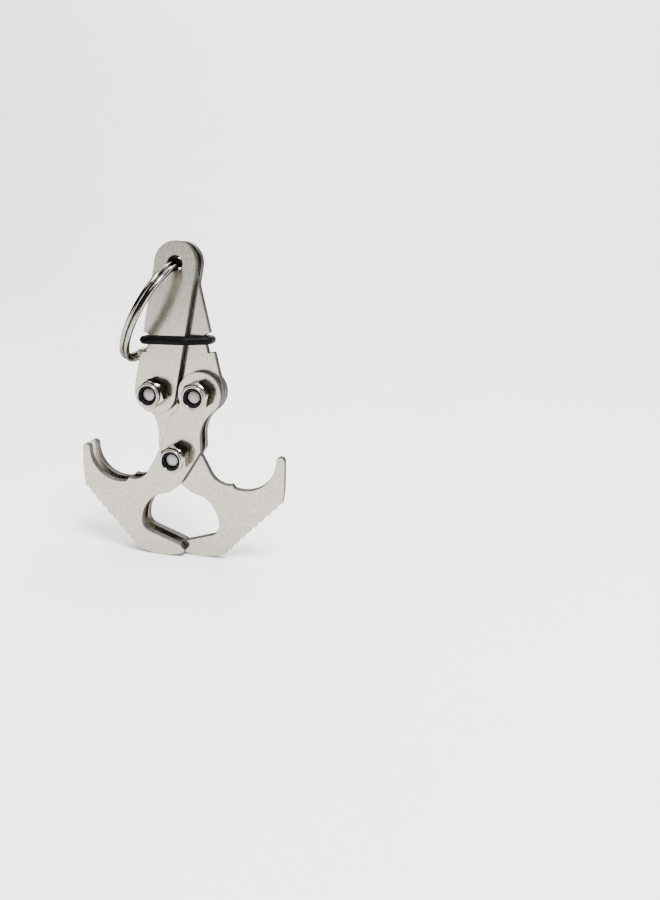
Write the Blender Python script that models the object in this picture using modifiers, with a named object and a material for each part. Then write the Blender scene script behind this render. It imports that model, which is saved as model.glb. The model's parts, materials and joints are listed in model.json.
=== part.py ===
"""Folding grapnel: two serrated claws and two arms of stamped steel plate on
three bolts, held shut by a rubber O-ring, with a split ring through the eye.

World frame in metres: X to the right, +Z up, the nuts face -Y. The origin is on
the ground between the claws, midway through the stack of plates. All the
dimensions below are in millimetres and are turned into metres by MM.
"""
import math

import bmesh
import bpy
from mathutils import Vector

MM = 0.001

# ---------------------------------------------------------------- driving sizes
EYE_Z = 64.0           # height of the eye above the ground
MID_X = 5.0            # half spacing of the two middle pivots
MID_Z = 37.0           # height of the middle pivots
LOW_Z = 23.2           # height of the lower pivot
HALF_WIDTH = 23.0      # centre line to the outer edge of a claw

PLATE = 1.6            # plate thickness
GAP = 0.3              # clearance left between any two neighbouring pieces
FACET = 0.03           # what the flats of a faceted round take off its clearance
EDGE = 0.12            # softened corner of a stamped edge

EYE_R = 4.6            # round end of the paired arm at the eye
MIDDLE_EYE_R = 3.4     # the same on the single middle arm
PIVOT_R = 4.77         # round ends at the middle pivots
EYE_HOLE_R = 1.6
FREE_HOLE_R = 2.4      # hidden hole that lets the linkage settle

NOTCH_TOP = 15.2       # O-ring notch, measured down the arm from the eye
NOTCH_BOTTOM = 19.3
NOTCH_DEPTH = 1.4

TEETH = 9              # pitches along the slanted edge of a claw
TOOTH_DEPTH = 0.37

BOLT_R = 1.5
BOLT_PAST_PLATE = 3.1  # bolt length in front of the nut's seat
HEAD_R = 2.85
HEAD_H = 1.65
HEAD_RIM = 0.35        # straight part of the head under its dome
HEAD_FLAT_R = 1.6
THREAD_CHAMFER = 0.22
THREAD_LEAD = 0.6
SOCKET_AF = 2.0
SOCKET_DEPTH = 1.0

NUT_AF = 5.5
NUT_HEX_H = 2.6
NUT_H = 4.0
COLLAR_R = 2.6
INSERT_R = 2.05
INSERT_FROM = 3.0
INSERT_TO = 3.75

ORING_CORD_R = 0.8
ORING_Z = 48.2

RING_MEAN_R = 11.45
RING_WIRE_RADIAL = 1.3
RING_WIRE_AXIAL = 0.95
RING_COIL_GAP = 0.12   # between the two turns of the one wire
RING_HANG = 28.6       # degrees from straight down, towards the left
RING_IN_EYE = -0.1     # how far the wire sits off the eye's axis, towards the ring's centre
RING_STEP_AT = 205.0   # where the wire changes coil, degrees round from the eye
RING_STEP = 26.0       # length of that change, degrees

EYE = (0.0, EYE_Z)
LEFT = (-MID_X, MID_Z)
RIGHT = (MID_X, MID_Z)
LOW = (0.0, LOW_Z)

# Points of the claw outline, (x, height).
WAIST = (MID_X + 0.15, 27.7)
SHOULDER = (MID_X + 0.2, 24.5)
NECK = ((-2.65, 28.2), (-4.3, 24.3))
ARM_SEAT, ARM_SEAT_R = (-10.75, 21.45), 4.35
THROAT, THROAT_R = (-14.1, 23.3), 7.05
THROAT_LIP = (-11.65, 17.35)
TIP_Z, TIP_R = 23.3, 0.92
BACK_Z, BACK_R = 18.0, 17.0
TEETH_TOP = (0.4 - HALF_WIDTH, 14.25)
TEETH_FOOT = (-10.1, 1.25)
SOLE, SOLE_R = (-4.3, 14.0), 14.0
POINT, POINT_R = (0.75, 1.62), 0.55
POINT_TOP = (0.3, 2.85)
INNER_FOOT, INNER_FOOT_R = (-6.3, 7.6), 2.4
INNER_SIDE, INNER_SIDE_R = (-1.5, 7.6), 7.2
CREST, SADDLE, APEX = (-5.45, 13.7), (-2.1, 14.7), (0.45, 16.7)
NECK_CLEAR_R = 5.95    # round the neighbouring arm's end

STACK_HALF = 1.5 * PLATE + GAP
LAYER_STEP = PLATE + GAP
BORE_R = BOLT_R + GAP + FACET
FRONT, MIDDLE, REAR = -LAYER_STEP, 0.0, LAYER_STEP


# ---------------------------------------------------------------- flat outlines
def arc(centre, radius, start, end, steps):
    """Points on an arc, angles in degrees."""
    points = []
    for i in range(steps + 1):
        a = math.radians(start + (end - start) * i / steps)
        points.append((centre[0] + radius * math.cos(a), centre[1] + radius * math.sin(a)))
    return points


def circle(centre, radius, steps=24):
    return arc(centre, radius, 0, 360, steps)[:-1]


def fillet(before, corner, after, radius, steps=4):
    """Arc that rounds a corner of an outline."""
    p, a, b = Vector(corner), Vector(before), Vector(after)
    u = (a - p).normalized()
    v = (b - p).normalized()
    half = u.angle(v) / 2
    centre = p + (u + v).normalized() * radius / math.sin(half)
    t1 = p + u * radius / math.tan(half) - centre
    turn = t1.angle_signed(p + v * radius / math.tan(half) - centre)
    start = math.degrees(math.atan2(t1.y, t1.x))
    return arc(centre, radius, start, start - math.degrees(turn), steps)


def mirrored(points):
    return [(-x, z) for x, z in points]


def bearing(a, b):
    """Direction from a to b in degrees."""
    return math.degrees(math.atan2(b[1] - a[1], b[0] - a[0]))


def arm_outline(eye_r):
    """Left arm: a bar from the eye to the left pivot, notched on its outer edge."""
    length = math.dist(EYE, LEFT)
    down = Vector(((LEFT[0] - EYE[0]) / length, (LEFT[1] - EYE[1]) / length))
    outward = Vector((down.y, -down.x))
    taper = math.degrees(math.asin((PIVOT_R - eye_r) / length))
    along = bearing(EYE, LEFT)

    def edge(distance, inset):
        half = eye_r + (PIVOT_R - eye_r) * distance / length - inset
        return tuple(Vector(EYE) + down * distance + outward * half)

    notch = [
        edge(NOTCH_TOP, 0),
        edge(NOTCH_TOP + 0.35, NOTCH_DEPTH),
        edge(NOTCH_BOTTOM, NOTCH_DEPTH),
        edge(NOTCH_BOTTOM, 0),
    ]
    outline = arc(EYE, eye_r, along + 90 + taper, along - 90 - taper + 360, 20)
    outline += notch
    outline += arc(LEFT, PIVOT_R, along + 270 - taper, along + 450 + taper, 18)
    return outline


def claw_outline():
    """Left claw: from the right pivot through the lower one to the hooked tip."""
    rise = MID_Z - WAIST[1]
    run = WAIST[0] - MID_X
    waist_r = (rise ** 2 + run ** 2 - PIVOT_R ** 2) / (2 * (PIVOT_R - run))
    waist_centre = (WAIST[0] + waist_r, WAIST[1])
    to_waist = bearing(RIGHT, waist_centre)
    outline = [SHOULDER]
    outline += arc(waist_centre, waist_r, 180, to_waist + 180, 8)

    # Round the right pivot, clear of the arm beside it, and down the neck.
    reach = (NECK_CLEAR_R ** 2 - PIVOT_R ** 2 + (2 * MID_X) ** 2) / (4 * MID_X)
    dip = math.sqrt(NECK_CLEAR_R ** 2 - reach ** 2)
    meet = (reach - MID_X, MID_Z - dip)
    outline += arc(RIGHT, PIVOT_R, to_waist, bearing(RIGHT, meet) + 360, 20)[1:]
    outline += arc(LEFT, NECK_CLEAR_R, bearing(LEFT, meet), -55, 5)[1:]
    outline += NECK

    # The arc that takes the end of the arm, then the throat of the hook.
    outline += arc(ARM_SEAT, ARM_SEAT_R, -30, -98, 8)
    outline.append(THROAT_LIP)
    outline += arc(THROAT, THROAT_R, -75, -175, 14)
    outline += arc((TIP_R - HALF_WIDTH, TIP_Z), TIP_R, -8, 180, 8)
    outline += arc((BACK_R - HALF_WIDTH, BACK_Z), BACK_R, 180, 192, 3)

    # Serrated edge: shallow notches between two corners.
    top, foot = Vector(TEETH_TOP), Vector(TEETH_FOOT)
    pitch = (foot - top) / TEETH
    inward = Vector((-pitch.y, pitch.x)).normalized()
    for i in range(TEETH):
        outline.append(tuple(top + pitch * i))
        outline.append(tuple(top + pitch * (i + 0.5) + inward * TOOTH_DEPTH))

    # Rounded sole, the lower point and the inner edge up to the shoulder.
    outline += arc(SOLE, SOLE_R, 245.5, 291, 9)
    outline += arc(POINT, POINT_R, -60, 45, 4)
    outline.append(POINT_TOP)
    outline += arc(INNER_FOOT, INNER_FOOT_R, 252, 180, 6)
    outline += arc(INNER_SIDE, INNER_SIDE_R, 180, 129, 7)[1:]
    outline += fillet(outline[-1], CREST, SADDLE, 0.5, 3)
    outline += fillet(CREST, SADDLE, APEX, 3.0, 3)
    outline += fillet(SADDLE, APEX, SHOULDER, 4.0, 3)
    return outline


# ---------------------------------------------------------------- scene helpers
def clear_scene():
    for obj in list(bpy.data.objects):
        bpy.data.objects.remove(obj, do_unlink=True)


def new_collection(name):
    collection = bpy.data.collections.new(name)
    bpy.context.scene.collection.children.link(collection)
    return collection


def make_material(name, colour, roughness, metallic):
    material = bpy.data.materials.new(name)
    material.use_nodes = True
    shader = material.node_tree.nodes["Principled BSDF"]
    shader.inputs["Base Color"].default_value = (*colour, 1.0)
    shader.inputs["Roughness"].default_value = roughness
    shader.inputs["Metallic"].default_value = metallic
    return material


def smooth(mesh, sharp_degrees=35):
    mesh.shade_smooth()
    mesh.set_sharp_from_angle(angle=math.radians(sharp_degrees))


def link(name, mesh, collection):
    obj = bpy.data.objects.new(name, mesh)
    collection.objects.link(obj)
    return obj


def mesh_from(obj, weld=1e-7):
    """The evaluated mesh of an object, welded; the object itself is removed."""
    graph = bpy.context.evaluated_depsgraph_get()
    mesh = bpy.data.meshes.new_from_object(obj.evaluated_get(graph))
    bm = bmesh.new()
    bm.from_mesh(mesh)
    bmesh.ops.remove_doubles(bm, verts=bm.verts, dist=weld)
    bmesh.ops.recalc_face_normals(bm, faces=bm.faces)
    bm.to_mesh(mesh)
    bm.free()
    bpy.data.objects.remove(obj, do_unlink=True)
    return mesh


def add_poly_spline(curve, points, cyclic):
    spline = curve.splines.new("POLY")
    spline.points.add(len(points) - 1)
    for spline_point, place in zip(spline.points, points):
        spline_point.co = (*[c * MM for c in place], 1.0)
    spline.use_cyclic_u = cyclic


def axis_empty(name, place, parent=None):
    """An empty on a joint's axis, with its local Z towards the front."""
    empty = bpy.data.objects.new(name, None)
    bpy.context.scene.collection.objects.link(empty)
    empty.empty_display_size = 5 * MM
    empty.location = (place[0] * MM, 0.0, place[1] * MM)
    empty.rotation_euler = (math.radians(90), 0.0, 0.0)
    if parent is not None:
        bpy.context.view_layer.update()
        empty.parent = parent
        empty.matrix_parent_inverse = parent.matrix_world.inverted()
    return empty


# ---------------------------------------------------------------- sub-parts
def plate_mesh(name, outline, holes, pivot):
    """A stamped plate with softened edges, in its pivot's local XY plane."""
    curve = bpy.data.curves.new(name, "CURVE")
    curve.dimensions = "2D"
    curve.fill_mode = "BOTH"
    curve.extrude = (PLATE / 2 - EDGE) * MM
    curve.bevel_depth = EDGE * MM
    curve.bevel_resolution = 0
    curve.offset = -EDGE * MM
    for loop in [outline] + holes:
        flat = [(x - pivot[0], z - pivot[1], 0.0) for x, z in loop]
        add_poly_spline(curve, flat, True)
    mesh = mesh_from(link(name, curve, bpy.context.scene.collection))
    smooth(mesh)
    return mesh


def turned_object(name, profile, collection, steps=32):
    """A profile of (radius, height) pairs, outer side downwards, turned round Z."""
    mesh = bpy.data.meshes.new(name)
    bm = bmesh.new()
    verts = [bm.verts.new((r * MM, 0.0, h * MM)) for r, h in profile]
    for a, b in zip(verts, verts[1:]):
        bm.edges.new((a, b))
    if profile[0][0] > 0:
        bm.edges.new((verts[-1], verts[0]))
    bm.to_mesh(mesh)
    bm.free()
    obj = link(name, mesh, collection)
    screw = obj.modifiers.new("turn", "SCREW")
    screw.axis = "Z"
    screw.steps = steps
    screw.render_steps = steps
    screw.use_merge_vertices = True
    screw.merge_threshold = 1e-6
    return obj


def hex_cutter(name, across_flats, bottom, top, collection):
    bpy.ops.mesh.primitive_cylinder_add(
        vertices=6,
        radius=across_flats / 2 / math.cos(math.radians(30)) * MM,
        depth=(top - bottom) * MM,
        location=(0, 0, (top + bottom) / 2 * MM),
    )
    cutter = bpy.context.object
    cutter.name = name
    for owner in list(cutter.users_collection):
        owner.objects.unlink(cutter)
    collection.objects.link(cutter)
    cutter.hide_render = True
    cutter.display_type = "WIRE"
    return cutter


def boolean(obj, cutter, operation):
    modifier = obj.modifiers.new(operation.lower(), "BOOLEAN")
    modifier.operation = operation
    modifier.object = cutter
    modifier.solver = "EXACT"


def bolt_mesh(cutters):
    """Button-head bolt, its axis along Z and its thread end at +Z."""
    tip = STACK_HALF + GAP + BOLT_PAST_PLATE
    under_head = -STACK_HALF - GAP
    head_top = under_head - HEAD_H
    profile = [
        (0.0, tip),
        (BOLT_R - THREAD_CHAMFER, tip),
        (BOLT_R, tip - THREAD_LEAD),
        (BOLT_R, under_head),
        (HEAD_R, under_head),
    ]
    crown = math.acos(HEAD_FLAT_R / HEAD_R)
    for i in range(4):
        a = crown * i / 3
        rise = (HEAD_H - HEAD_RIM) * math.sin(a) / math.sin(crown)
        profile.append((HEAD_R * math.cos(a), under_head - HEAD_RIM - rise))
    profile.append((0.0, head_top))
    bolt = turned_object("bolt_blank", profile, bpy.context.scene.collection)
    socket = hex_cutter("bolt_socket", SOCKET_AF, head_top - 1.0, head_top + SOCKET_DEPTH, cutters)
    boolean(bolt, socket, "DIFFERENCE")
    mesh = mesh_from(bolt)
    smooth(mesh)
    return mesh


def nut_mesh(cutters):
    """Lock nut: a chamfered hexagon under a rolled collar, seat at Z = 0."""
    corner_r = NUT_AF / 2 / math.cos(math.radians(30))
    seat_r = NUT_AF / 2 - 0.05
    chamfer = 0.35
    lip_r = INSERT_R + GAP + FACET
    groove_floor = INSERT_FROM - GAP
    rim_mid = (lip_r + COLLAR_R) / 2
    profile = [
        (lip_r, NUT_H - 0.08),
        (rim_mid - 0.03, NUT_H),
        (rim_mid + 0.03, NUT_H),
        (COLLAR_R, NUT_H - 0.08),
        (COLLAR_R, NUT_HEX_H + 0.25),
        (COLLAR_R + 0.15, NUT_HEX_H + 0.02),
        (corner_r + 0.1, NUT_HEX_H - chamfer),
        (corner_r + 0.1, chamfer),
        (seat_r, 0.0),
        (BORE_R, 0.0),
        (BORE_R, groove_floor),
        (lip_r, groove_floor),
    ]
    nut = turned_object("nut_blank", profile, bpy.context.scene.collection, 36)
    hexagon = hex_cutter("nut_hexagon", NUT_AF, -1.0, NUT_H + 1.0, cutters)
    boolean(nut, hexagon, "INTERSECT")
    mesh = mesh_from(nut)
    smooth(mesh, 25)
    return mesh


def insert_mesh():
    """Nylon ring held in the nut's collar."""
    bevel = 0.06
    profile = [
        (BORE_R, INSERT_TO - bevel),
        (BORE_R + bevel, INSERT_TO),
        (INSERT_R - bevel, INSERT_TO),
        (INSERT_R, INSERT_TO - bevel),
        (INSERT_R, INSERT_FROM),
        (BORE_R, INSERT_FROM),
    ]
    mesh = mesh_from(turned_object("insert_blank", profile, bpy.context.scene.collection, 28))
    smooth(mesh)
    return mesh


def split_ring_mesh(guides):
    """Nearly two turns of flat wire, in the ring's own frame: the eye at the
    origin, the ring's centre towards -Y and its coils side by side along X."""
    profile = bpy.data.curves.new("wire_section", "CURVE")
    profile.dimensions = "2D"
    half_a, half_r, round_r = RING_WIRE_AXIAL / 2, RING_WIRE_RADIAL / 2, 0.32
    section = []
    for sx, sy, start in ((1, 1, 0), (-1, 1, 90), (-1, -1, 180), (1, -1, 270)):
        centre = (sx * (half_a - round_r), sy * (half_r - round_r))
        section += arc(centre, round_r, start, start + 90, 2)
    add_poly_spline(profile, [(x, y, 0.0) for x, y in section], True)
    guide = link("wire_section", profile, guides)
    guide.hide_render = True
    guide.display_type = "WIRE"

    side = (RING_WIRE_AXIAL + RING_COIL_GAP) / 2
    half_step = RING_STEP / 2
    first = RING_STEP_AT - 360 + half_step + 1.5
    last = RING_STEP_AT + 360 - half_step - 1.5
    count = 84
    path = []
    for i in range(count + 1):
        degrees = first + (last - first) * i / count
        across = max(-1.0, min(1.0, (degrees - RING_STEP_AT) / half_step))
        offset = side * math.sin(math.radians(90 * across))
        a = math.radians(degrees)
        path.append((
            offset,
            -(RING_IN_EYE + RING_MEAN_R) + RING_MEAN_R * math.cos(a),
            RING_MEAN_R * math.sin(a),
        ))
    wire = bpy.data.curves.new("split_ring", "CURVE")
    wire.dimensions = "3D"
    wire.twist_mode = "MINIMUM"
    wire.bevel_mode = "OBJECT"
    wire.bevel_object = guide
    wire.use_fill_caps = True
    add_poly_spline(wire, path, False)
    mesh = mesh_from(link("split_ring", wire, bpy.context.scene.collection))
    smooth(mesh, 50)
    return mesh


def belt_path(corners, radius):
    """A band stretched round convex corners, given anticlockwise, as a loop."""
    path = []
    count = len(corners)
    for i in range(count):
        start = bearing(corners[i - 1], corners[i]) - 90
        end = bearing(corners[i], corners[(i + 1) % count]) - 90
        turn = (end - start) % 360
        steps = max(1, round(turn / 22))
        path += arc(corners[i], radius, start, start + turn, steps)
    return path


def oring_mesh():
    """Rubber ring stretched over the notches of both arms, in the XY plane."""
    length = math.dist(EYE, LEFT)
    centre_x = MID_X * (EYE_Z - ORING_Z) / (EYE_Z - MID_Z)
    slope = (EYE_Z - MID_Z) / length
    share = (EYE_Z - ORING_Z) / (EYE_Z - MID_Z)

    def wall(eye_r, inset):
        return (eye_r + (PIVOT_R - eye_r) * share - inset) / slope

    outer_x = centre_x + wall(EYE_R, NOTCH_DEPTH)
    inner_x = wall(EYE_R, 0) - centre_x
    middle_x = centre_x + wall(MIDDLE_EYE_R, NOTCH_DEPTH)
    corners = [
        (-outer_x, -STACK_HALF),
        (inner_x, -STACK_HALF),
        (middle_x, -PLATE / 2),
        (middle_x, PLATE / 2),
        (inner_x, STACK_HALF),
        (-outer_x, STACK_HALF),
    ]
    curve = bpy.data.curves.new("o_ring", "CURVE")
    curve.dimensions = "3D"
    curve.bevel_depth = ORING_CORD_R * MM
    curve.bevel_resolution = 3
    path = belt_path(corners, ORING_CORD_R + GAP + FACET)
    add_poly_spline(curve, [(x, y, 0.0) for x, y in path], True)
    mesh = mesh_from(link("o_ring", curve, bpy.context.scene.collection))
    smooth(mesh, 60)
    return mesh


# ---------------------------------------------------------------- assembly
def place(name, mesh, material, parent, local=(0.0, 0.0, 0.0), twist=0.0):
    """Link a part under a joint's empty; local is in the empty's own axes."""
    obj = link(name, mesh, bpy.data.collections["folding_grapnel"])
    mesh.materials.clear()
    mesh.materials.append(material)
    obj.parent = parent
    obj.location = [c * MM for c in local]
    obj.rotation_euler = (0.0, 0.0, math.radians(twist))
    return obj


def offset_from(pivot, point):
    return (point[0] - pivot[0], point[1] - pivot[1])


def main():
    clear_scene()
    new_collection("folding_grapnel")
    cutters = new_collection("cutters")

    steel = make_material("satin_steel", (0.61, 0.58, 0.54), 0.32, 1.0)
    zinc = make_material("bright_steel", (0.70, 0.69, 0.67), 0.18, 1.0)
    nylon = make_material("nylon", (0.012, 0.014, 0.022), 0.45, 0.0)
    rubber = make_material("rubber", (0.010, 0.010, 0.011), 0.55, 0.0)

    low_axis = axis_empty("lower_pivot_axis", LOW)
    claw_left_axis = axis_empty("claw_left_axis", LOW, low_axis)
    claw_right_axis = axis_empty("claw_right_axis", LOW, low_axis)
    arm_right_axis = axis_empty("arm_right_axis", RIGHT, claw_left_axis)
    arm_left_axis = axis_empty("arm_left_axis", EYE, arm_right_axis)
    ring_axis = axis_empty("ring_axis", EYE, arm_left_axis)

    def hole(centre, radius=BORE_R):
        return circle(centre, radius)

    eye_hole = hole(EYE, EYE_HOLE_R)
    left_claw = plate_mesh("claw_left", claw_outline(), [hole(RIGHT), hole(LOW)], LOW)
    right_claw = plate_mesh(
        "claw_right", mirrored(claw_outline()), [hole(LEFT, FREE_HOLE_R), hole(LOW)], LOW)
    left_arm = plate_mesh("arm_left", arm_outline(EYE_R), [eye_hole, hole(LEFT)], EYE)
    right_arm = plate_mesh(
        "arm_right", mirrored(arm_outline(MIDDLE_EYE_R)), [eye_hole, hole(RIGHT)], RIGHT)

    place("claw_left_front", left_claw, steel, claw_left_axis, (0, 0, -FRONT))
    place("claw_left_rear", left_claw, steel, claw_left_axis, (0, 0, -REAR))
    place("claw_right", right_claw, steel, claw_right_axis, (0, 0, -MIDDLE))
    place("arm_left_front", left_arm, steel, arm_left_axis, (0, 0, -FRONT))
    place("arm_left_rear", left_arm, steel, arm_left_axis, (0, 0, -REAR))
    place("arm_right", right_arm, steel, arm_right_axis, (0, 0, -MIDDLE))

    bolt = bolt_mesh(cutters)
    nut = nut_mesh(cutters)
    insert = insert_mesh()
    fastenings = (
        ("lower", low_axis, LOW, LOW, 0),
        ("left", arm_left_axis, EYE, LEFT, 11),
        ("right", claw_left_axis, LOW, RIGHT, -13),
    )
    seat = STACK_HALF + GAP
    for side, parent, pivot, point, twist in fastenings:
        x, y = offset_from(pivot, point)
        place(side + "_bolt", bolt, zinc, parent, (x, y, 0), twist)
        place(side + "_nut", nut, zinc, parent, (x, y, seat), twist)
        place(side + "_nut_insert", insert, nylon, parent, (x, y, seat), twist)

    place("split_ring", split_ring_mesh(cutters), zinc, ring_axis, (0, 0, 0), -RING_HANG)
    band = place("o_ring", oring_mesh(), rubber, arm_left_axis, (0, ORING_Z - EYE_Z, 0))
    band.rotation_euler = (math.radians(-90), 0.0, 0.0)


main()
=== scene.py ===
"""Looks of the folding grapnel: stamped steel plates, lock nuts, split ring and
rubber O-ring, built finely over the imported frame, in metres."""
import json
import math

import bmesh
import bpy
from mathutils import Matrix, Vector


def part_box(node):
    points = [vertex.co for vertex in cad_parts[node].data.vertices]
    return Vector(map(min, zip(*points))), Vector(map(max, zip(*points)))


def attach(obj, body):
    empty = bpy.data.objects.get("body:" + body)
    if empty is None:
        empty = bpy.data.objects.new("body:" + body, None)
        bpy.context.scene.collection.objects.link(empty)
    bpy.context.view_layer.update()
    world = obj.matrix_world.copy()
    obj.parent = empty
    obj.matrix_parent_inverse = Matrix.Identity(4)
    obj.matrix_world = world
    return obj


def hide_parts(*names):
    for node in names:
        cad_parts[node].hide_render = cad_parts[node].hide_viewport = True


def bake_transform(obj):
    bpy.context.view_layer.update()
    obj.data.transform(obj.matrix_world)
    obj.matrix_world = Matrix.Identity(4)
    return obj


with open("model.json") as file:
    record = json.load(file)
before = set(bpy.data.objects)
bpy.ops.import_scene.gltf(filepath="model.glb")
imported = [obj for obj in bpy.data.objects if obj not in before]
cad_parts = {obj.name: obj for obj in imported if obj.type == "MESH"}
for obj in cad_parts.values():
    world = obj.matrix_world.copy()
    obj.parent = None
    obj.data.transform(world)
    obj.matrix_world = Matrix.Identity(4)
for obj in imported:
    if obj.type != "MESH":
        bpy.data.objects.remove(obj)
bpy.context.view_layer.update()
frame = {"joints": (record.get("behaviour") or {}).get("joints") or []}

MM = 0.001

# ------------------------------------------------------------ places, from the frame
PIVOTS = {joint["name"]: joint["pos_m"] for joint in frame["joints"]}   # metres


def on_face(name):
    """A joint's place in the plane of the plates, in mm."""
    x, _, z = PIVOTS[name]
    return (x / MM, z / MM)


def node_box(node):
    """Lowest and highest corner of a CAD node, in mm."""
    low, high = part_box(node)
    return low / MM, high / MM


EYE = on_face("eye_pivot")
RIGHT = on_face("arm_right_pivot")
LOW = on_face("claw_left_pivot")
LEFT = (-RIGHT[0], RIGHT[1])
HALF_WIDTH = node_box("claw_right")[1].x
PLATE = node_box("claw_right")[1].y - node_box("claw_right")[0].y
STACK_HALF = node_box("claw_left_rear")[1].y
NUT_SEAT = -node_box("lower_nut")[1].y
NUT_H = node_box("lower_nut")[1].y - node_box("lower_nut")[0].y
HEAD_BACK = node_box("lower_bolt")[1].y
BOLT_TIP = node_box("lower_bolt")[0].y
ORING_Z = (node_box("o_ring")[0].z + node_box("o_ring")[1].z) / 2

# ------------------------------------------------------------ sizes (mm)
ROLLOVER = 0.13        # rounding of a stamped edge
CORNER = 0.12          # rounding of the outline's sharp corners
EYE_R = node_box("arm_left_front")[1].z - EYE[1]
MIDDLE_EYE_R = node_box("arm_right")[1].z - EYE[1]
PIVOT_R = 4.77         # round ends at the middle pivots
EYE_HOLE_R = 1.6
PIVOT_HOLE_R = 1.83
FREE_HOLE_R = 2.4      # hidden hole that lets the linkage settle
NOTCH_TOP = 15.2       # O-ring notch, measured down the arm from the eye
NOTCH_BOTTOM = 19.3
NOTCH_SLANT = 0.35     # how far the notch's upper wall leans
NOTCH_DEPTH = 1.4
TEETH = 9              # pitches along the slanted edge of a claw
TOOTH_DEPTH = 0.37

# Points of the claw outline, (x, height).
WAIST = (RIGHT[0] + 0.15, 27.7)
SHOULDER = (RIGHT[0] + 0.2, 24.5)
NECK = [(-2.65, 28.2), (-4.3, 24.3)]
ARM_SEAT, ARM_SEAT_R = (-10.75, 21.45), 4.35
THROAT, THROAT_R = (-14.1, 23.3), 7.05
THROAT_LIP = (-11.65, 17.35)
TIP_Z, TIP_R = 23.3, 0.92
BACK_Z, BACK_R = 18.0, 17.0
TEETH_TOP = (0.4 - HALF_WIDTH, 14.25)
TEETH_FOOT = (-10.1, 1.25)
SOLE, SOLE_R = (-4.3, 14.0), 14.0
POINT, POINT_R = (0.75, 1.62), 0.55
POINT_TOP = (0.3, 2.85)
INNER_FOOT, INNER_FOOT_R = (-6.3, 7.6), 2.4
INNER_SIDE, INNER_SIDE_R = (-1.5, 7.6), 7.2
CREST, SADDLE, APEX = (-5.45, 13.7), (-2.1, 14.7), (0.45, 16.7)
NECK_CLEAR_R = 5.95    # round the neighbouring arm's end

CUTTER_PAST = 1.0      # how far a cutting bar reaches past the piece
NUT_AF = 5.5
NUT_HEX_H = 2.6
NUT_CHAMFER = 0.35
NUT_TOP_CHAMFER = 0.4
SHOULDER_R = 0.2       # hollow between the hexagon and its collar
COLLAR_R = 2.6
COLLAR_EDGE_R = 0.1
BEAD_R = 0.18          # rolled lip that holds the nylon
GROOVE = 0.16
INSERT_R = 2.05
INSERT_TO = 3.75
INSERT_DEPTH = 1.0     # below the top of the nut
INSERT_LIP_R = 0.12    # inner edge, pressed over by the bolt
INSERT_RIM_R = 0.06    # outer edge
THREAD_PLAY = 0.15     # plain bore round a plain bolt
BOLT_R = 1.5
BOLT_END_R = 1.22      # flat of the sawn end
BOLT_END_EDGE = 0.05
BOLT_CHAMFER = 0.3
HEAD_R = 2.85
HEAD_RIM = 0.2         # straight part of the head under its dome
HEAD_FLAT_R = 1.35
DOME_FULLNESS = 0.9    # 1 would be a full spherical cap
DOME_STEPS = 8
SOCKET_AF = 2.0
SOCKET_DEPTH = 1.0

ORING_CORD_R = 0.87
ORING_LIFT = 0.09      # keeps the cord off the sloping floor of its notch
RING_MEAN_R = 11.45
RING_WIRE_RADIAL = 1.35
RING_WIRE_AXIAL = 1.0
RING_WIRE_EDGE_R = 0.45
RING_COIL_GAP = 0.06   # between the two turns of the one wire
RING_HANG = 28.6       # degrees from straight down, towards the left
RING_IN_EYE = -0.1     # how far the wire sits off the eye's axis, towards the ring's centre
RING_STEP_AT = 205.0   # where the wire changes coil, degrees round from the eye
RING_STEP = 26.0       # length of that change, degrees
RING_END_GAP = 1.5     # between a wire's end and that change, degrees
RING_POINTS = 400


# ------------------------------------------------------------ outlines (mm)
def arc(centre, radius, start, end, spacing=0.22):
    """Points on an arc, angles in degrees, about one for each spacing."""
    length = abs(math.radians(end - start)) * radius
    steps = max(3, round(length / spacing))
    points = []
    for i in range(steps + 1):
        a = math.radians(start + (end - start) * i / steps)
        points.append((centre[0] + radius * math.cos(a), centre[1] + radius * math.sin(a)))
    return points


def circle(centre, radius):
    return arc(centre, radius, 0, 360)[:-1]


def bearing(a, b):
    return math.degrees(math.atan2(b[1] - a[1], b[0] - a[0]))


def fillet(before, corner, after, radius):
    """Arc that rounds a corner of an outline."""
    p, a, b = Vector(corner), Vector(before), Vector(after)
    u = (a - p).normalized()
    v = (b - p).normalized()
    half = u.angle(v) / 2
    centre = p + (u + v).normalized() * radius / math.sin(half)
    t1 = p + u * radius / math.tan(half) - centre
    turn = t1.angle_signed(p + v * radius / math.tan(half) - centre)
    start = math.degrees(math.atan2(t1.y, t1.x))
    return arc(centre, radius, start, start - math.degrees(turn))


def soften(outline, radius=CORNER, from_degrees=22):
    """Round every sharp corner of a closed outline a little."""
    result = []
    count = len(outline)
    for i, corner in enumerate(outline):
        before, after = outline[i - 1], outline[(i + 1) % count]
        u = Vector(before) - Vector(corner)
        v = Vector(after) - Vector(corner)
        turn = math.pi - u.angle(v)
        if math.degrees(turn) < from_degrees:
            result.append(corner)
            continue
        room = 0.45 * min(u.length, v.length) / math.tan(turn / 2)
        result += fillet(before, corner, after, min(radius, room))
    return result


def mirrored(points):
    return [(-x, z) for x, z in points]


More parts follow.
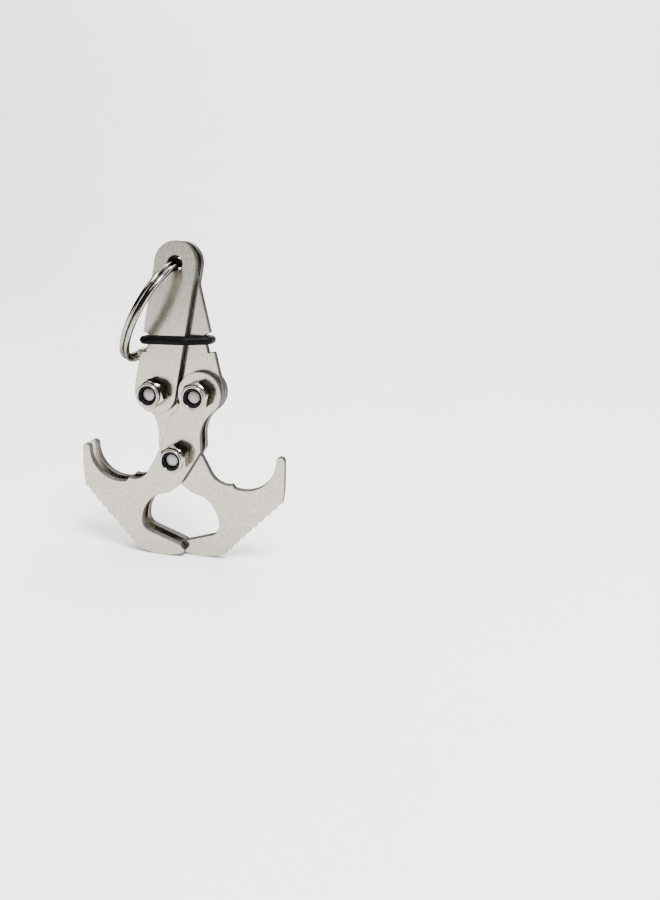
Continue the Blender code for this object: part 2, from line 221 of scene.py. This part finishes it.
def arm_outline(eye_r):
    """Left arm: a bar from the eye to the left pivot, notched on its outer edge."""
    length = math.dist(EYE, LEFT)
    down = Vector(((LEFT[0] - EYE[0]) / length, (LEFT[1] - EYE[1]) / length))
    outward = Vector((down.y, -down.x))
    taper = math.degrees(math.asin((PIVOT_R - eye_r) / length))
    along = bearing(EYE, LEFT)

    def edge(distance, inset):
        half = eye_r + (PIVOT_R - eye_r) * distance / length - inset
        return tuple(Vector(EYE) + down * distance + outward * half)

    outline = arc(EYE, eye_r, along + 90 + taper, along - 90 - taper + 360)
    outline += [
        edge(NOTCH_TOP, 0),
        edge(NOTCH_TOP + NOTCH_SLANT, NOTCH_DEPTH),
        edge(NOTCH_BOTTOM, NOTCH_DEPTH),
        edge(NOTCH_BOTTOM, 0),
    ]
    outline += arc(LEFT, PIVOT_R, along + 270 - taper, along + 450 + taper)
    return outline


def claw_outline():
    """Left claw: from the right pivot through the lower one to the hooked tip."""
    rise = RIGHT[1] - WAIST[1]
    run = WAIST[0] - RIGHT[0]
    waist_r = (rise ** 2 + run ** 2 - PIVOT_R ** 2) / (2 * (PIVOT_R - run))
    waist_centre = (WAIST[0] + waist_r, WAIST[1])
    to_waist = bearing(RIGHT, waist_centre)
    outline = [SHOULDER]
    outline += arc(waist_centre, waist_r, 180, to_waist + 180)

    # Round the right pivot, clear of the arm beside it, and down the neck.
    reach = (NECK_CLEAR_R ** 2 - PIVOT_R ** 2 + (2 * RIGHT[0]) ** 2) / (4 * RIGHT[0])
    dip = math.sqrt(NECK_CLEAR_R ** 2 - reach ** 2)
    meet = (reach - RIGHT[0], RIGHT[1] - dip)
    outline += arc(RIGHT, PIVOT_R, to_waist, bearing(RIGHT, meet) + 360)[1:]
    outline += arc(LEFT, NECK_CLEAR_R, bearing(LEFT, meet), -55)[1:]
    outline += NECK

    # The arc that takes the end of the arm, then the throat of the hook.
    outline += arc(ARM_SEAT, ARM_SEAT_R, -30, -98)
    outline.append(THROAT_LIP)
    outline += arc(THROAT, THROAT_R, -75, -175)
    outline += arc((TIP_R - HALF_WIDTH, TIP_Z), TIP_R, -8, 180)
    outline += arc((BACK_R - HALF_WIDTH, BACK_Z), BACK_R, 180, 192)

    # Serrated edge: shallow notches between two corners.
    top, foot = Vector(TEETH_TOP), Vector(TEETH_FOOT)
    pitch = (foot - top) / TEETH
    inward = Vector((-pitch.y, pitch.x)).normalized()
    for i in range(TEETH):
        outline.append(tuple(top + pitch * i))
        outline.append(tuple(top + pitch * (i + 0.5) + inward * TOOTH_DEPTH))

    # Rounded sole, the lower point and the inner edge up to the shoulder.
    outline += arc(SOLE, SOLE_R, 245.5, 291)
    outline += arc(POINT, POINT_R, -60, 45)
    outline.append(POINT_TOP)
    outline += arc(INNER_FOOT, INNER_FOOT_R, 252, 180)
    outline += arc(INNER_SIDE, INNER_SIDE_R, 180, 129)[1:]
    outline += fillet(outline[-1], CREST, SADDLE, 0.5)
    outline += fillet(CREST, SADDLE, APEX, 3.0)
    outline += fillet(SADDLE, APEX, SHOULDER, 4.0)
    return outline


# ------------------------------------------------------------ material helpers
def new_material(name, colour, roughness, metallic):
    """A node material and its Principled shader."""
    material = bpy.data.materials.new(name)
    material.use_nodes = True
    shader = material.node_tree.nodes["Principled BSDF"]
    shader.inputs["Base Color"].default_value = (*colour, 1.0)
    shader.inputs["Roughness"].default_value = roughness
    shader.inputs["Metallic"].default_value = metallic
    return material, shader


def noise(material, size_mm, stretch=(1.0, 1.0, 1.0), detail=3.0):
    """A noise texture on the piece itself, one blotch about size_mm across."""
    nodes, links = material.node_tree.nodes, material.node_tree.links
    place = nodes.new("ShaderNodeTexCoord")
    mapping = nodes.new("ShaderNodeMapping")
    mapping.inputs["Scale"].default_value = [s / (size_mm * MM) for s in stretch]
    texture = nodes.new("ShaderNodeTexNoise")
    texture.inputs["Scale"].default_value = 1.0
    texture.inputs["Detail"].default_value = detail
    links.new(place.outputs["Object"], mapping.inputs["Vector"])
    links.new(mapping.outputs["Vector"], texture.inputs["Vector"])
    return texture.outputs["Fac"]


def spread(material, source, low, high, start=0.35, end=0.65):
    """Map part of a 0 to 1 value onto a range."""
    node = material.node_tree.nodes.new("ShaderNodeMapRange")
    node.inputs["From Min"].default_value = start
    node.inputs["From Max"].default_value = end
    node.inputs["To Min"].default_value = low
    node.inputs["To Max"].default_value = high
    material.node_tree.links.new(source, node.inputs["Value"])
    return node.outputs["Result"]


def two_tone(material, source, dark, light):
    """Colour that runs from dark to light with a 0 to 1 value."""
    node = material.node_tree.nodes.new("ShaderNodeMix")
    node.data_type = "RGBA"
    node.inputs["A"].default_value = (*dark, 1.0)
    node.inputs["B"].default_value = (*light, 1.0)
    material.node_tree.links.new(source, node.inputs["Factor"])
    return node.outputs["Result"]


def bump(material, source, height_mm, before=None):
    """Surface relief from a value, on top of an earlier relief if one is given."""
    node = material.node_tree.nodes.new("ShaderNodeBump")
    node.inputs["Strength"].default_value = 1.0
    node.inputs["Distance"].default_value = height_mm * MM
    material.node_tree.links.new(source, node.inputs["Height"])
    if before is not None:
        material.node_tree.links.new(before, node.inputs["Normal"])
    return node.outputs["Normal"]


def plug(material, source, shader, socket):
    material.node_tree.links.new(source, shader.inputs[socket])


def mottle(material, shader, source, dark, light):
    """Base colour that drifts between two tones."""
    tint = spread(material, source, 0.0, 1.0)
    plug(material, two_tone(material, tint, dark, light), shader, "Base Color")


# ------------------------------------------------------------ materials
def satin_steel():
    """Rolled stainless sheet, lightly blasted: soft reflections and a fine grain."""
    material, shader = new_material("satin_steel", (0.46, 0.435, 0.395), 0.17, 1.0)
    cloud = noise(material, 0.7, detail=6.0)
    mottle(material, shader, cloud, (0.335, 0.308, 0.265), (0.422, 0.392, 0.343))
    grain = noise(material, 0.16, (1.0, 1.0, 0.25), 2.0)
    plug(material, spread(material, grain, 0.14, 0.20), shader, "Roughness")
    fine = bump(material, grain, 0.0012)
    dents = noise(material, 1.1, detail=2.0)
    plug(material, bump(material, dents, 0.004, fine), shader, "Normal")
    return material


def cut_steel_and_gap_shade():
    """The stamped edge of the sheet: duller, streaked through the thickness, and painted far
    darker than steel as painted shade for the gaps between the plates and the insides of the
    holes.
    """
    material, shader = new_material("cut_steel_edge_and_painted_shade", (0.42, 0.40, 0.38), 0.4, 1.0)
    streak = noise(material, 0.14, (1.0, 0.08, 1.0), 3.0)
    # Painted shade: these near-black tones and the dimmed specular tint are partly the duller
    # stamped edge and partly painted shade of the gaps and holes.
    mottle(material, shader, streak, (0.095, 0.093, 0.089), (0.155, 0.151, 0.145))
    shader.inputs["Specular Tint"].default_value = (0.30, 0.29, 0.28, 1.0)
    plug(material, spread(material, streak, 0.38, 0.55), shader, "Roughness")
    plug(material, bump(material, streak, 0.005), shader, "Normal")
    return material


def bright_steel():
    """Polished, plated steel of the nuts and bolts."""
    material, shader = new_material("bright_steel", (0.62, 0.60, 0.56), 0.1, 1.0)
    shader.inputs["Specular Tint"].default_value = (0.32, 0.31, 0.30, 1.0)
    haze = noise(material, 0.5, detail=4.0)
    mottle(material, shader, haze, (0.39, 0.360, 0.310), (0.48, 0.448, 0.395))
    plug(material, spread(material, haze, 0.07, 0.15), shader, "Roughness")
    plug(material, bump(material, noise(material, 0.35), 0.003), shader, "Normal")
    return material


def ring_steel():
    """Nickel-plated spring wire of the split ring: deeper and warmer."""
    material, shader = new_material("ring_steel", (0.285, 0.268, 0.243), 0.09, 1.0)
    shader.inputs["Specular Tint"].default_value = (0.16, 0.155, 0.15, 1.0)
    haze = noise(material, 0.6, detail=4.0)
    mottle(material, shader, haze, (0.235, 0.220, 0.198), (0.335, 0.316, 0.288))
    plug(material, spread(material, haze, 0.06, 0.12), shader, "Roughness")
    plug(material, bump(material, noise(material, 0.35), 0.002), shader, "Normal")
    return material


def bolt_end_steel():
    """The sawn end of a bolt: pale and matt."""
    material, shader = new_material("bolt_end_steel", (0.72, 0.71, 0.69), 0.42, 1.0)
    rings = noise(material, 0.12, detail=3.0)
    mottle(material, shader, rings, (0.24, 0.235, 0.22), (0.40, 0.39, 0.37))
    plug(material, spread(material, rings, 0.36, 0.5), shader, "Roughness")
    plug(material, bump(material, rings, 0.006), shader, "Normal")
    return material


def nylon():
    """Dark moulded nylon of the nuts' locking rings, painted near black with a weak
    reflection, partly as painted shade of its recess in the nut.
    """
    material, shader = new_material("dark_nylon_and_painted_recess_shade", (0.012, 0.015, 0.028), 0.4, 0.0)
    shader.inputs["Specular IOR Level"].default_value = 0.1
    speckle = noise(material, 0.2)
    # Painted shade: these near-black tones are partly the dark nylon and partly painted shade
    # of the recess it sits in.
    mottle(material, shader, speckle, (0.0014, 0.0015, 0.0024), (0.0028, 0.003, 0.0046))
    plug(material, spread(material, speckle, 0.5, 0.7), shader, "Roughness")
    plug(material, bump(material, speckle, 0.01), shader, "Normal")
    return material


def rubber():
    """Black rubber with a faint bloom and a fine skin."""
    material, shader = new_material("black_rubber", (0.006, 0.006, 0.007), 0.5, 0.0)
    shader.inputs["Specular IOR Level"].default_value = 0.06
    bloom = noise(material, 0.9, detail=6.0)
    mottle(material, shader, bloom, (0.0008, 0.0008, 0.0009), (0.0020, 0.0020, 0.0022))
    plug(material, spread(material, bloom, 0.42, 0.62), shader, "Roughness")
    plug(material, bump(material, noise(material, 0.12), 0.008), shader, "Normal")
    return material


def studio_white():
    material, shader = new_material("studio_white", (0.93, 0.93, 0.93), 0.9, 0.0)
    mottle(material, shader, noise(material, 60.0), (0.92, 0.92, 0.92), (0.94, 0.94, 0.94))
    return material


# ------------------------------------------------------------ mesh helpers
def link(name, data):
    obj = bpy.data.objects.new(name, data)
    bpy.context.scene.collection.objects.link(obj)
    return obj


def mesh_from(obj):
    """The evaluated mesh of an object, welded; the object itself is removed."""
    graph = bpy.context.evaluated_depsgraph_get()
    mesh = bpy.data.meshes.new_from_object(obj.evaluated_get(graph))
    bm = bmesh.new()
    bm.from_mesh(mesh)
    bmesh.ops.remove_doubles(bm, verts=bm.verts, dist=1e-7)
    bmesh.ops.recalc_face_normals(bm, faces=bm.faces)
    bm.to_mesh(mesh)
    bm.free()
    bpy.data.objects.remove(obj, do_unlink=True)
    mesh.shade_smooth()
    return mesh


def add_poly_spline(curve, points, cyclic):
    spline = curve.splines.new("POLY")
    spline.points.add(len(points) - 1)
    for spline_point, place in zip(spline.points, points):
        spline_point.co = (*[c * MM for c in place], 1.0)
    spline.use_cyclic_u = cyclic


def finish_piece(name, mesh, materials, body, replaced):
    """Link a mesh as a piece that rides a body in place of its CAD node."""
    for material in materials:
        mesh.materials.append(material)
    piece = link(name, mesh)
    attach(piece, body)
    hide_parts(replaced)
    return piece


FACE_FORWARD = Matrix.Rotation(math.radians(90), 4, "X")


def plate_mesh(name, outline, holes, y):
    """A stamped plate in its place: flat faces in slot 0; cut edges and the steeper rim faces
    in slot 1, the rims as a painted shaded outline.
    """
    curve = bpy.data.curves.new(name, "CURVE")
    curve.dimensions = "2D"
    curve.fill_mode = "BOTH"
    curve.extrude = (PLATE / 2 - ROLLOVER) * MM
    curve.bevel_depth = ROLLOVER * MM
    curve.bevel_resolution = 2
    curve.offset = -ROLLOVER * MM
    for loop in [soften(outline)] + holes:
        add_poly_spline(curve, [(x, z, 0.0) for x, z in loop], True)
    mesh = mesh_from(link(name, curve))
    mesh.transform(Matrix.Translation((0.0, y * MM, 0.0)) @ FACE_FORWARD)

    mesh.set_sharp_from_angle(angle=math.radians(40))
    bm = bmesh.new()
    bm.from_mesh(mesh)
    for face in bm.faces:
        # Painted shade: the steeper faces of the rounded rim take the dark edge material too,
        # which paints a shaded line round every plate's outline.
        face.material_index = 0 if abs(face.normal.y) > 0.9 else 1
    for edge in bm.edges:
        flats = [abs(face.normal.y) > 0.999 for face in edge.link_faces]
        if any(flats) and not all(flats):
            edge.smooth = False
    bm.to_mesh(mesh)
    bm.free()
    return mesh


def turned(name, profile, steps=96):
    """A profile of (radius, height) pairs, outer side downwards, turned round Z."""
    mesh = bpy.data.meshes.new(name)
    bm = bmesh.new()
    verts = [bm.verts.new((r * MM, 0.0, h * MM)) for r, h in profile]
    for a, b in zip(verts, verts[1:]):
        bm.edges.new((a, b))
    if profile[0][0] > 0:
        bm.edges.new((verts[-1], verts[0]))
    bm.to_mesh(mesh)
    bm.free()
    obj = link(name, mesh)
    screw = obj.modifiers.new("turn", "SCREW")
    screw.axis = "Z"
    screw.steps = steps
    screw.render_steps = steps
    screw.use_merge_vertices = True
    screw.merge_threshold = 1e-6
    return obj


def hex_bar(name, across_flats, bottom, top):
    bpy.ops.mesh.primitive_cylinder_add(
        vertices=6,
        radius=across_flats / 2 / math.cos(math.radians(30)) * MM,
        depth=(top - bottom) * MM,
        location=(0, 0, (top + bottom) / 2 * MM),
    )
    bar = bpy.context.object
    bar.name = name
    return bar


def cut(obj, tool, operation):
    """Apply a boolean and return the resulting mesh."""
    modifier = obj.modifiers.new("cut", "BOOLEAN")
    modifier.operation = operation
    modifier.object = tool
    modifier.solver = "EXACT"
    mesh = mesh_from(obj)
    bpy.data.objects.remove(tool, do_unlink=True)
    return mesh


def at_pivot(mesh, point, twist):
    """A copy of a fastener's mesh, its Z axis turned to the front at a pivot."""
    copy = mesh.copy()
    copy.transform(Matrix.Rotation(math.radians(twist), 4, "Z"))
    copy.transform(Matrix.Translation((point[0] * MM, 0.0, point[1] * MM)) @ FACE_FORWARD)
    return copy


# ------------------------------------------------------------ pieces
def make_plates(faces, edges):
    eye_hole = circle(EYE, EYE_HOLE_R)
    low_hole = circle(LOW, PIVOT_HOLE_R)
    left_hole = circle(LEFT, PIVOT_HOLE_R)
    right_hole = circle(RIGHT, PIVOT_HOLE_R)
    free_hole = circle(LEFT, FREE_HOLE_R)
    left_claw = (claw_outline(), [right_hole, low_hole])
    right_claw = (mirrored(claw_outline()), [free_hole, low_hole])
    left_arm = (arm_outline(EYE_R), [eye_hole, left_hole])
    right_arm = (mirrored(arm_outline(MIDDLE_EYE_R)), [eye_hole, right_hole])
    layout = (
        ("claw_left_front", "claw_left", left_claw),
        ("claw_left_rear", "claw_left", left_claw),
        ("claw_right", "claw_right", right_claw),
        ("arm_left_front", "arm_left", left_arm),
        ("arm_left_rear", "arm_left", left_arm),
        ("arm_right", "arm_right", right_arm),
    )
    for node, body, (outline, holes) in layout:
        low, high = node_box(node)
        mesh = plate_mesh(node + "_plate", outline, holes, (low.y + high.y) / 2)
        finish_piece(node + "_plate", mesh, [faces, edges], body, node)


def rounded(centre, radius, start, end, count=5):
    """A few (radius, height) points round a profile's corner."""
    points = []
    for i in range(count):
        a = math.radians(start + (end - start) * i / (count - 1))
        points.append((centre[0] + radius * math.cos(a), centre[1] + radius * math.sin(a)))
    return points


def nut_mesh():
    """Lock nut: chamfered hexagon, shoulder and rolled collar, seat at Z = 0."""
    corner_r = NUT_AF / 2 / math.cos(math.radians(30))
    past_corner = corner_r + 0.1
    bore_r = BOLT_R + THREAD_PLAY
    pocket = NUT_H - 1.1
    lip_r = INSERT_R - 0.03
    collar_top = NUT_H - BEAD_R
    edge_centre = (COLLAR_R - COLLAR_EDGE_R, collar_top - COLLAR_EDGE_R)
    shoulder = (COLLAR_R + SHOULDER_R, NUT_HEX_H + 0.35)
    profile = [(lip_r, NUT_H - 0.6)]
    profile += rounded((lip_r + BEAD_R, collar_top), BEAD_R, 180, 20, 8)
    profile.append((lip_r + 2 * BEAD_R + 0.01, collar_top - GROOVE))
    profile += rounded(edge_centre, COLLAR_EDGE_R, 150, 0, 5)
    profile += rounded(shoulder, SHOULDER_R, 180, 240, 5)
    profile += [
        (past_corner, NUT_HEX_H - NUT_TOP_CHAMFER),
        (past_corner, NUT_CHAMFER),
        (NUT_AF / 2 - 0.1, 0.0),
        (bore_r, 0.0),
        (bore_r, pocket),
        (lip_r, pocket),
    ]
    hexagon = hex_bar("nut_hexagon", NUT_AF, -CUTTER_PAST, NUT_H + CUTTER_PAST)
    mesh = cut(turned("nut", profile), hexagon, "INTERSECT")
    mesh.set_sharp_from_angle(angle=math.radians(28))
    mesh.transform(Matrix.Translation((0.0, 0.0, NUT_SEAT * MM)))
    return mesh


def insert_mesh():
    """Nylon ring, its inner edge rounded where it grips the bolt."""
    base = NUT_SEAT + NUT_H - INSERT_DEPTH
    top = NUT_SEAT + INSERT_TO
    lip = (BOLT_R + INSERT_LIP_R + 0.02, top - INSERT_LIP_R)
    rim = (INSERT_R - INSERT_RIM_R, top - INSERT_RIM_R)
    profile = rounded(lip, INSERT_LIP_R, 180, 90, 4)
    profile += rounded(rim, INSERT_RIM_R, 90, 0, 3)
    profile += [(INSERT_R, base), (BOLT_R + 0.02, base)]
    mesh = mesh_from(turned("insert", profile, 72))
    mesh.set_sharp_from_angle(angle=math.radians(40))
    return mesh


def bolt_mesh():
    """Button-head bolt: domed head behind, chamfered end inside the nut."""
    tip = -BOLT_TIP
    under_head = -NUT_SEAT
    head_top = -HEAD_BACK
    height = under_head - head_top
    dome_r = (HEAD_R ** 2 + height ** 2 * DOME_FULLNESS) / (2 * height)
    reach = math.degrees(math.asin((HEAD_R - 0.05) / dome_r))
    flat = math.degrees(math.asin(HEAD_FLAT_R / dome_r))
    crown = head_top + dome_r * math.cos(math.radians(flat))
    profile = [
        (0.0, tip),
        (BOLT_END_R, tip),
        (BOLT_END_R + 0.1, tip - BOLT_END_EDGE),
        (BOLT_R, tip - BOLT_CHAMFER),
        (BOLT_R, under_head),
        (HEAD_R, under_head),
        (HEAD_R, under_head - HEAD_RIM),
    ]
    for i in range(DOME_STEPS + 1):
        a = math.radians(reach + (flat - reach) * i / DOME_STEPS)
        profile.append((dome_r * math.sin(a), max(head_top, crown - dome_r * math.cos(a))))
    profile.append((0.0, head_top))
    socket = hex_bar("bolt_socket", SOCKET_AF, head_top - CUTTER_PAST, head_top + SOCKET_DEPTH)
    mesh = cut(turned("bolt", profile), socket, "DIFFERENCE")
    mesh.set_sharp_from_angle(angle=math.radians(30))
    for face in mesh.polygons:
        face.material_index = 1 if face.center.z > (tip - 0.1) * MM else 0
    return mesh


def make_fasteners(metal, bolt_end, plastic):
    nut, insert, bolt = nut_mesh(), insert_mesh(), bolt_mesh()
    layout = (
        ("lower", "pivot", LOW, 0),
        ("left", "arm_left", LEFT, 11),
        ("right", "claw_left", RIGHT, -13),
    )
    for side, body, point, twist in layout:
        for kind, mesh, materials, record_slot in (
            ("_nut", nut, [metal], "bright_steel"),
            ("_nut_insert", insert, [plastic], "nylon"),
            ("_bolt", bolt, [metal, bolt_end], "bright_steel"),
        ):
            node = side + kind
            piece_mesh = at_pivot(mesh, point, twist)
            finish_piece(node + "_detail", piece_mesh, materials, body, node)


def make_split_ring(metal):
    """Nearly two turns of flat wire, side by side, with one slanted step."""
    flat_x = RING_WIRE_AXIAL / 2 - RING_WIRE_EDGE_R
    flat_y = RING_WIRE_RADIAL / 2 - RING_WIRE_EDGE_R
    section = []
    for sx, sy, start in ((1, 1, 0), (-1, 1, 90), (-1, -1, 180), (1, -1, 270)):
        centre = (sx * flat_x, sy * flat_y)
        section += arc(centre, RING_WIRE_EDGE_R, start, start + 90, 0.12)
    profile = bpy.data.curves.new("wire_section", "CURVE")
    profile.dimensions = "2D"
    add_poly_spline(profile, [(x, y, 0.0) for x, y in section], True)
    guide = link("wire_section", profile)

    side = (RING_WIRE_AXIAL + RING_COIL_GAP) / 2
    half_step = RING_STEP / 2
    first = RING_STEP_AT - 360 + half_step + RING_END_GAP
    last = RING_STEP_AT + 360 - half_step - RING_END_GAP
    path = []
    for i in range(RING_POINTS + 1):
        degrees = first + (last - first) * i / RING_POINTS
        across = max(-1.0, min(1.0, (degrees - RING_STEP_AT) / half_step))
        a = math.radians(degrees)
        path.append((
            side * math.sin(math.radians(90 * across)),
            -(RING_IN_EYE + RING_MEAN_R) + RING_MEAN_R * math.cos(a),
            RING_MEAN_R * math.sin(a),
        ))
    wire = bpy.data.curves.new("split_ring_wire", "CURVE")
    wire.dimensions = "3D"
    wire.twist_mode = "MINIMUM"
    wire.bevel_mode = "OBJECT"
    wire.bevel_object = guide
    wire.use_fill_caps = True
    add_poly_spline(wire, path, False)
    mesh = mesh_from(link("split_ring_wire", wire))
    bpy.data.objects.remove(guide, do_unlink=True)
    mesh.set_sharp_from_angle(angle=math.radians(45))
    hang = Matrix.Rotation(math.radians(-RING_HANG), 4, "Z")
    at_eye = Matrix.Translation((EYE[0] * MM, 0.0, EYE[1] * MM))
    mesh.transform(at_eye @ FACE_FORWARD @ hang)
    finish_piece("split_ring_wire", mesh, [metal], "split_ring", "split_ring")


def belt_path(corners, radius):
    """A band stretched round convex corners, given anticlockwise, as a loop."""
    path = []
    count = len(corners)
    for i in range(count):
        start = bearing(corners[i - 1], corners[i]) - 90
        end = bearing(corners[i], corners[(i + 1) % count]) - 90
        path += arc(corners[i], radius, start, start + (end - start) % 360, 0.12)
    spaced = []
    for a, b in zip(path, path[1:] + path[:1]):
        pieces = max(1, round(math.dist(a, b) / 0.5))
        for k in range(pieces):
            t = k / pieces
            spaced.append((a[0] + (b[0] - a[0]) * t, a[1] + (b[1] - a[1]) * t))
    return spaced


def make_oring(skin):
    """Rubber ring stretched over the notches; it bends between the two arms."""
    length = math.dist(EYE, LEFT)
    share = (EYE[1] - ORING_Z) / (EYE[1] - LEFT[1])
    centre_x = RIGHT[0] * share
    slope = (EYE[1] - LEFT[1]) / length

    def wall(eye_r, inset):
        return (eye_r + (PIVOT_R - eye_r) * share - inset) / slope

    outer_x = centre_x + wall(EYE_R, NOTCH_DEPTH)
    inner_x = wall(EYE_R, 0) - centre_x
    middle_x = centre_x + wall(MIDDLE_EYE_R, NOTCH_DEPTH)
    corners = [
        (-outer_x, -STACK_HALF),
        (inner_x, -STACK_HALF),
        (middle_x, -PLATE / 2),
        (middle_x, PLATE / 2),
        (inner_x, STACK_HALF),
        (-outer_x, STACK_HALF),
    ]
    curve = bpy.data.curves.new("o_ring_band", "CURVE")
    curve.dimensions = "3D"
    curve.bevel_depth = ORING_CORD_R * MM
    curve.bevel_resolution = 6
    path = belt_path(corners, ORING_CORD_R + ORING_LIFT)
    add_poly_spline(curve, [(x, y, ORING_Z) for x, y in path], True)
    mesh = mesh_from(link("o_ring_band", curve))
    mesh.materials.append(skin)
    band = link("o_ring_band", mesh)
    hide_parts("o_ring")
    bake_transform(band)


# ------------------------------------------------------------ studio
def make_floor():
    """Floor that sweeps up into a backdrop, in metres."""
    half_width, height = 2.0, 2.2
    front, back = -1.2, 0.9
    sweep_r, steps = 0.5, 12
    depth = [(front, 0.0), (back, 0.0)]
    for i in range(1, steps + 1):
        a = math.radians(90 * i / steps)
        depth.append((back + sweep_r * math.sin(a), sweep_r * (1 - math.cos(a))))
    depth.append((back + sweep_r, height))
    mesh = bpy.data.meshes.new("studio_sweep")
    bm = bmesh.new()
    rows = [[bm.verts.new((x, y, z)) for x in (-half_width, half_width)] for y, z in depth]
    for a, b in zip(rows, rows[1:]):
        bm.faces.new((a[0], a[1], b[1], b[0]))
    bm.to_mesh(mesh)
    bm.free()
    mesh.shade_smooth()
    mesh.materials.append(studio_white())
    link("studio_sweep", mesh)


def area_light(name, place, aim, size, watts):
    data = bpy.data.lights.new(name, "AREA")
    data.shape = "RECTANGLE"
    data.size, data.size_y = size
    data.energy = watts
    lamp = link(name, data)
    lamp.location = place
    lamp.rotation_euler = (Vector(aim) - Vector(place)).to_track_quat("-Z", "Y").to_euler()
    return lamp


def dark_flag(name, azimuths, distance, heights):
    """A curved dark card that only reflections see, standing round the object.

    Azimuths are in degrees from the front, turning to the right; the rest is in metres.
    """
    mesh = bpy.data.meshes.new(name)
    bm = bmesh.new()
    count = 24
    rows = []
    for i in range(count + 1):
        a = math.radians(azimuths[0] + (azimuths[1] - azimuths[0]) * i / count)
        x, y = distance * math.sin(a), -distance * math.cos(a)
        rows.append([bm.verts.new((x, y, z)) for z in heights])
    for a, b in zip(rows, rows[1:]):
        bm.faces.new((a[0], a[1], b[1], b[0]))
    bm.to_mesh(mesh)
    bm.free()
    material, _ = new_material(name, (0.01, 0.01, 0.01), 0.9, 0.0)
    mesh.materials.append(material)
    card = link(name, mesh)
    card.visible_camera = False
    card.visible_diffuse = False
    card.visible_shadow = False
    card.visible_transmission = False


def make_studio():
    make_floor()
    world = bpy.data.worlds.new("soft_studio")
    bpy.context.scene.world = world
    world.use_nodes = True
    background = world.node_tree.nodes["Background"]
    background.inputs["Color"].default_value = (1.0, 0.99, 0.975, 1.0)
    background.inputs["Strength"].default_value = 1.7
    area_light("key_softbox", (0.26, -0.28, 0.68), (0.0, 0.0, 0.0), (0.3, 0.3), 14.0)
    area_light("backdrop_wash", (0.0, 0.55, 1.3), (0.0, 1.4, 0.5), (1.5, 0.4), 30.0)
    dark_flag("flag_beside_camera", (4, 36), 0.09, (0.0, 0.30))
    dark_flag("flag_over_camera", (-75, 110), 1.0, (0.14, 1.3))
    dark_flag("flag_left", (-128, -72), 0.5, (0.0, 0.9))
    dark_flag("flag_right", (146, 170), 0.5, (0.0, 0.9))


def make_camera():
    """A near, slightly raised view from the front right."""
    azimuth, elevation, roll = 20.3, 11.3, -0.7
    place = (0.052, -0.1387, 0.0647)
    data = bpy.data.cameras.new("front_camera")
    data.sensor_width = 36.0
    data.lens = 28.0
    data.shift_x = 0.162
    data.shift_y = -0.056
    data.clip_start = 0.005
    camera = link("front_camera", data)
    aim = Matrix.Rotation(math.radians(azimuth), 4, "Z")
    aim @= Matrix.Rotation(math.radians(90 - elevation), 4, "X")
    aim @= Matrix.Rotation(math.radians(roll), 4, "Z")
    camera.matrix_world = Matrix.Translation(place) @ aim
    bpy.context.scene.camera = camera


# ------------------------------------------------------------ build
make_plates(satin_steel(), cut_steel_and_gap_shade())
make_fasteners(bright_steel(), bolt_end_steel(), nylon())
make_split_ring(ring_steel())
make_oring(rubber())
make_studio()
make_camera()
